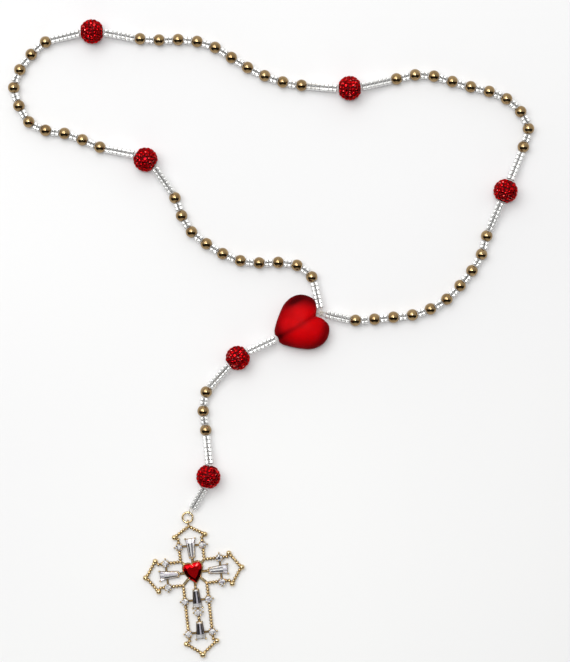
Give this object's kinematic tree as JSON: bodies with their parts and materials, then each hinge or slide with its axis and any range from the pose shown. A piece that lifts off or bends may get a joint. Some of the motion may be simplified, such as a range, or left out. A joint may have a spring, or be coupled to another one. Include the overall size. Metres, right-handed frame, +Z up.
{
  "type": "rosary",
  "caption": "String of round gold beads and red pave balls on doubled seed-bead strands, with a heart bead and a stone-set crucifix.",
  "frame": {"origin": "middle of the whole layout, on the surface that it lies on", "axes": "+Z up from the surface; +Y from the crucifix foot towards the top of the loop; +X to the right of that, with the loop pivots turning about Z"},
  "size_m": [0.2257, 0.2728, 0.0104],
  "materials": {
    "gold_bead": "polished",
    "cross_gold": "polished, with milgrain edges",
    "seed_glass": "clear, silver lined",
    "thread": "pale nylon",
    "heart_resin": "frosted translucent acrylic",
    "pave_clay": "matt clay",
    "red_crystal": "faceted, foil backed",
    "clear_crystal": "faceted, foil backed"
  },
  "bodies": {
    "heart_side": {"gold_beads_heart": "gold_bead", "seed_beads_heart": "seed_glass", "thread_heart": "thread", "heart_bead": "heart_resin", "closing_knot": "thread"},
    "loop_1": {"gold_beads_1": "gold_bead", "seed_beads_1": "seed_glass", "thread_1": "thread"},
    "loop_2": {"gold_beads_2": "gold_bead", "seed_beads_2": "seed_glass", "thread_2": "thread"},
    "loop_3": {"gold_beads_3": "gold_bead", "seed_beads_3": "seed_glass", "thread_3": "thread"},
    "loop_4": {"gold_beads_4": "gold_bead", "seed_beads_4": "seed_glass", "thread_4": "thread"},
    "loop_5": {"gold_beads_5": "gold_bead", "seed_beads_5": "seed_glass", "thread_5": "thread"},
    "loop_6": {"gold_beads_6": "gold_bead", "seed_beads_6": "seed_glass", "thread_6": "thread"},
    "loop_7": {"gold_beads_7": "gold_bead", "seed_beads_7": "seed_glass", "thread_7": "thread"},
    "ball_1": {"pave_ball_1": "pave_clay", "pave_crystals_1": "red_crystal"},
    "ball_2": {"pave_ball_2": "pave_clay", "pave_crystals_2": "red_crystal"},
    "ball_3": {"pave_ball_3": "pave_clay", "pave_crystals_3": "red_crystal"},
    "ball_4": {"pave_ball_4": "pave_clay", "pave_crystals_4": "red_crystal"},
    "ball_5": {"pave_ball_5": "pave_clay", "pave_crystals_5": "red_crystal"},
    "ball_6": {"pave_ball_6": "pave_clay", "pave_crystals_6": "red_crystal"},
    "drop_upper": {"seed_beads_drop_upper": "seed_glass", "thread_drop_upper": "thread"},
    "drop_middle": {"seed_beads_drop_middle": "seed_glass", "gold_beads_drop": "gold_bead", "thread_drop_middle": "thread"},
    "drop_lower": {"seed_beads_drop_lower": "seed_glass", "thread_drop_lower": "thread"},
    "ring": {"jump_ring": "cross_gold"},
    "crucifix": {"cross_frame": "cross_gold", "cross_centre_crystal": "red_crystal", "cross_round_crystals": "clear_crystal", "baguette_top": "clear_crystal", "baguette_left": "clear_crystal", "baguette_right": "clear_crystal", "baguette_foot_upper": "clear_crystal", "baguette_foot_lower": "clear_crystal"}
  },
  "joints": [
    {"name": "loop_pivot_1", "type": "hinge", "parent": "heart_side", "child": "loop_1", "pos_m": [0.01119, 0.03159, 0.0025], "axis": [0, 0, 1], "range_deg": [-15, 15]},
    {"name": "loop_pivot_2", "type": "hinge", "parent": "loop_1", "child": "loop_2", "pos_m": [-0.01308, 0.03355, 0.0025], "axis": [0, 0, 1], "range_deg": [-15, 15]},
    {"name": "loop_pivot_3", "type": "hinge", "parent": "loop_2", "child": "loop_3", "pos_m": [-0.10379, 0.09311, 0.0025], "axis": [0, 0, 1], "range_deg": [-15, 15]},
    {"name": "loop_pivot_4", "type": "hinge", "parent": "loop_3", "child": "loop_4", "pos_m": [-0.05609, 0.12872, 0.0025], "axis": [0, 0, 1], "range_deg": [-15, 15]},
    {"name": "loop_pivot_5", "type": "hinge", "parent": "loop_4", "child": "loop_5", "pos_m": [0.0539, 0.11153, 0.0025], "axis": [0, 0, 1], "range_deg": [-15, 15]},
    {"name": "loop_pivot_6", "type": "hinge", "parent": "loop_5", "child": "loop_6", "pos_m": [0.07784, 0.11039, 0.0025], "axis": [0, 0, 1], "range_deg": [-15, 15]},
    {"name": "loop_pivot_7", "type": "hinge", "parent": "loop_6", "child": "loop_7", "pos_m": [0.09261, 0.04419, 0.0025], "axis": [0, 0, 1], "range_deg": [-15, 15]},
    {"name": "drop_upper_pivot", "type": "hinge", "parent": "heart_side", "child": "drop_upper", "pos_m": [0.00327, 0.0006, 0.0046], "axis": [0, 0, 1], "range_deg": [-15, 15]},
    {"name": "drop_middle_pivot", "type": "hinge", "parent": "drop_upper", "child": "drop_middle", "pos_m": [-0.0141, -0.0081, 0.00522], "axis": [0, 0, 1], "range_deg": [-20, 20]},
    {"name": "drop_lower_pivot", "type": "hinge", "parent": "drop_middle", "child": "drop_lower", "pos_m": [-0.0267, -0.0589, 0.00522], "axis": [0, 0, 1], "range_deg": [-20, 20]},
    {"name": "ring_pivot", "type": "hinge", "parent": "drop_lower", "child": "ring", "pos_m": [-0.03575, -0.07668, 0.00135], "axis": [0, 0, 1], "range_deg": [-30, 30]},
    {"name": "crucifix_lift", "type": "hinge", "parent": "ring", "child": "crucifix", "pos_m": [-0.03551, -0.07884, 0.00135], "axis": [-0.9938, -0.1115, 0], "range_deg": [0, 75]},
    {"name": "ball_1_spin", "type": "hinge", "parent": "loop_2", "child": "ball_1", "pos_m": [-0.05355, 0.07672, 0.00522], "axis": [-0.8288, 0.5595, 0.0003], "continuous": true},
    {"name": "ball_2_spin", "type": "hinge", "parent": "loop_3", "child": "ball_2", "pos_m": [-0.07651, 0.13148, 0.00522], "axis": [0.9994, 0.0343, 0.0003], "continuous": true},
    {"name": "ball_3_spin", "type": "hinge", "parent": "loop_4", "child": "ball_3", "pos_m": [0.03375, 0.10725, 0.00522], "axis": [0.9977, 0.0676, -0.0001], "continuous": true},
    {"name": "ball_4_spin", "type": "hinge", "parent": "loop_6", "child": "ball_4", "pos_m": [0.10041, 0.06331, 0.00522], "axis": [-0.3805, -0.9248, 0], "continuous": true},
    {"name": "ball_5_spin", "type": "hinge", "parent": "drop_upper", "child": "ball_5", "pos_m": [-0.0141, -0.0081, 0.00522], "axis": [-0.8009, -0.5966, -0.0517], "continuous": true},
    {"name": "ball_6_spin", "type": "hinge", "parent": "drop_middle", "child": "ball_6", "pos_m": [-0.0267, -0.0589, 0.00522], "axis": [-0.2024, -0.9789, -0.0287], "continuous": true}
  ],
  "couplings": [
    {"joint": "loop_pivot_2", "follows": "loop_pivot_1", "ratio": -1},
    {"joint": "loop_pivot_5", "follows": "loop_pivot_1", "ratio": 1},
    {"joint": "loop_pivot_6", "follows": "loop_pivot_1", "ratio": -1},
    {"joint": "loop_pivot_4", "follows": "loop_pivot_3", "ratio": -1},
    {"joint": "loop_pivot_7", "follows": "loop_pivot_3", "ratio": 1}
  ]
}
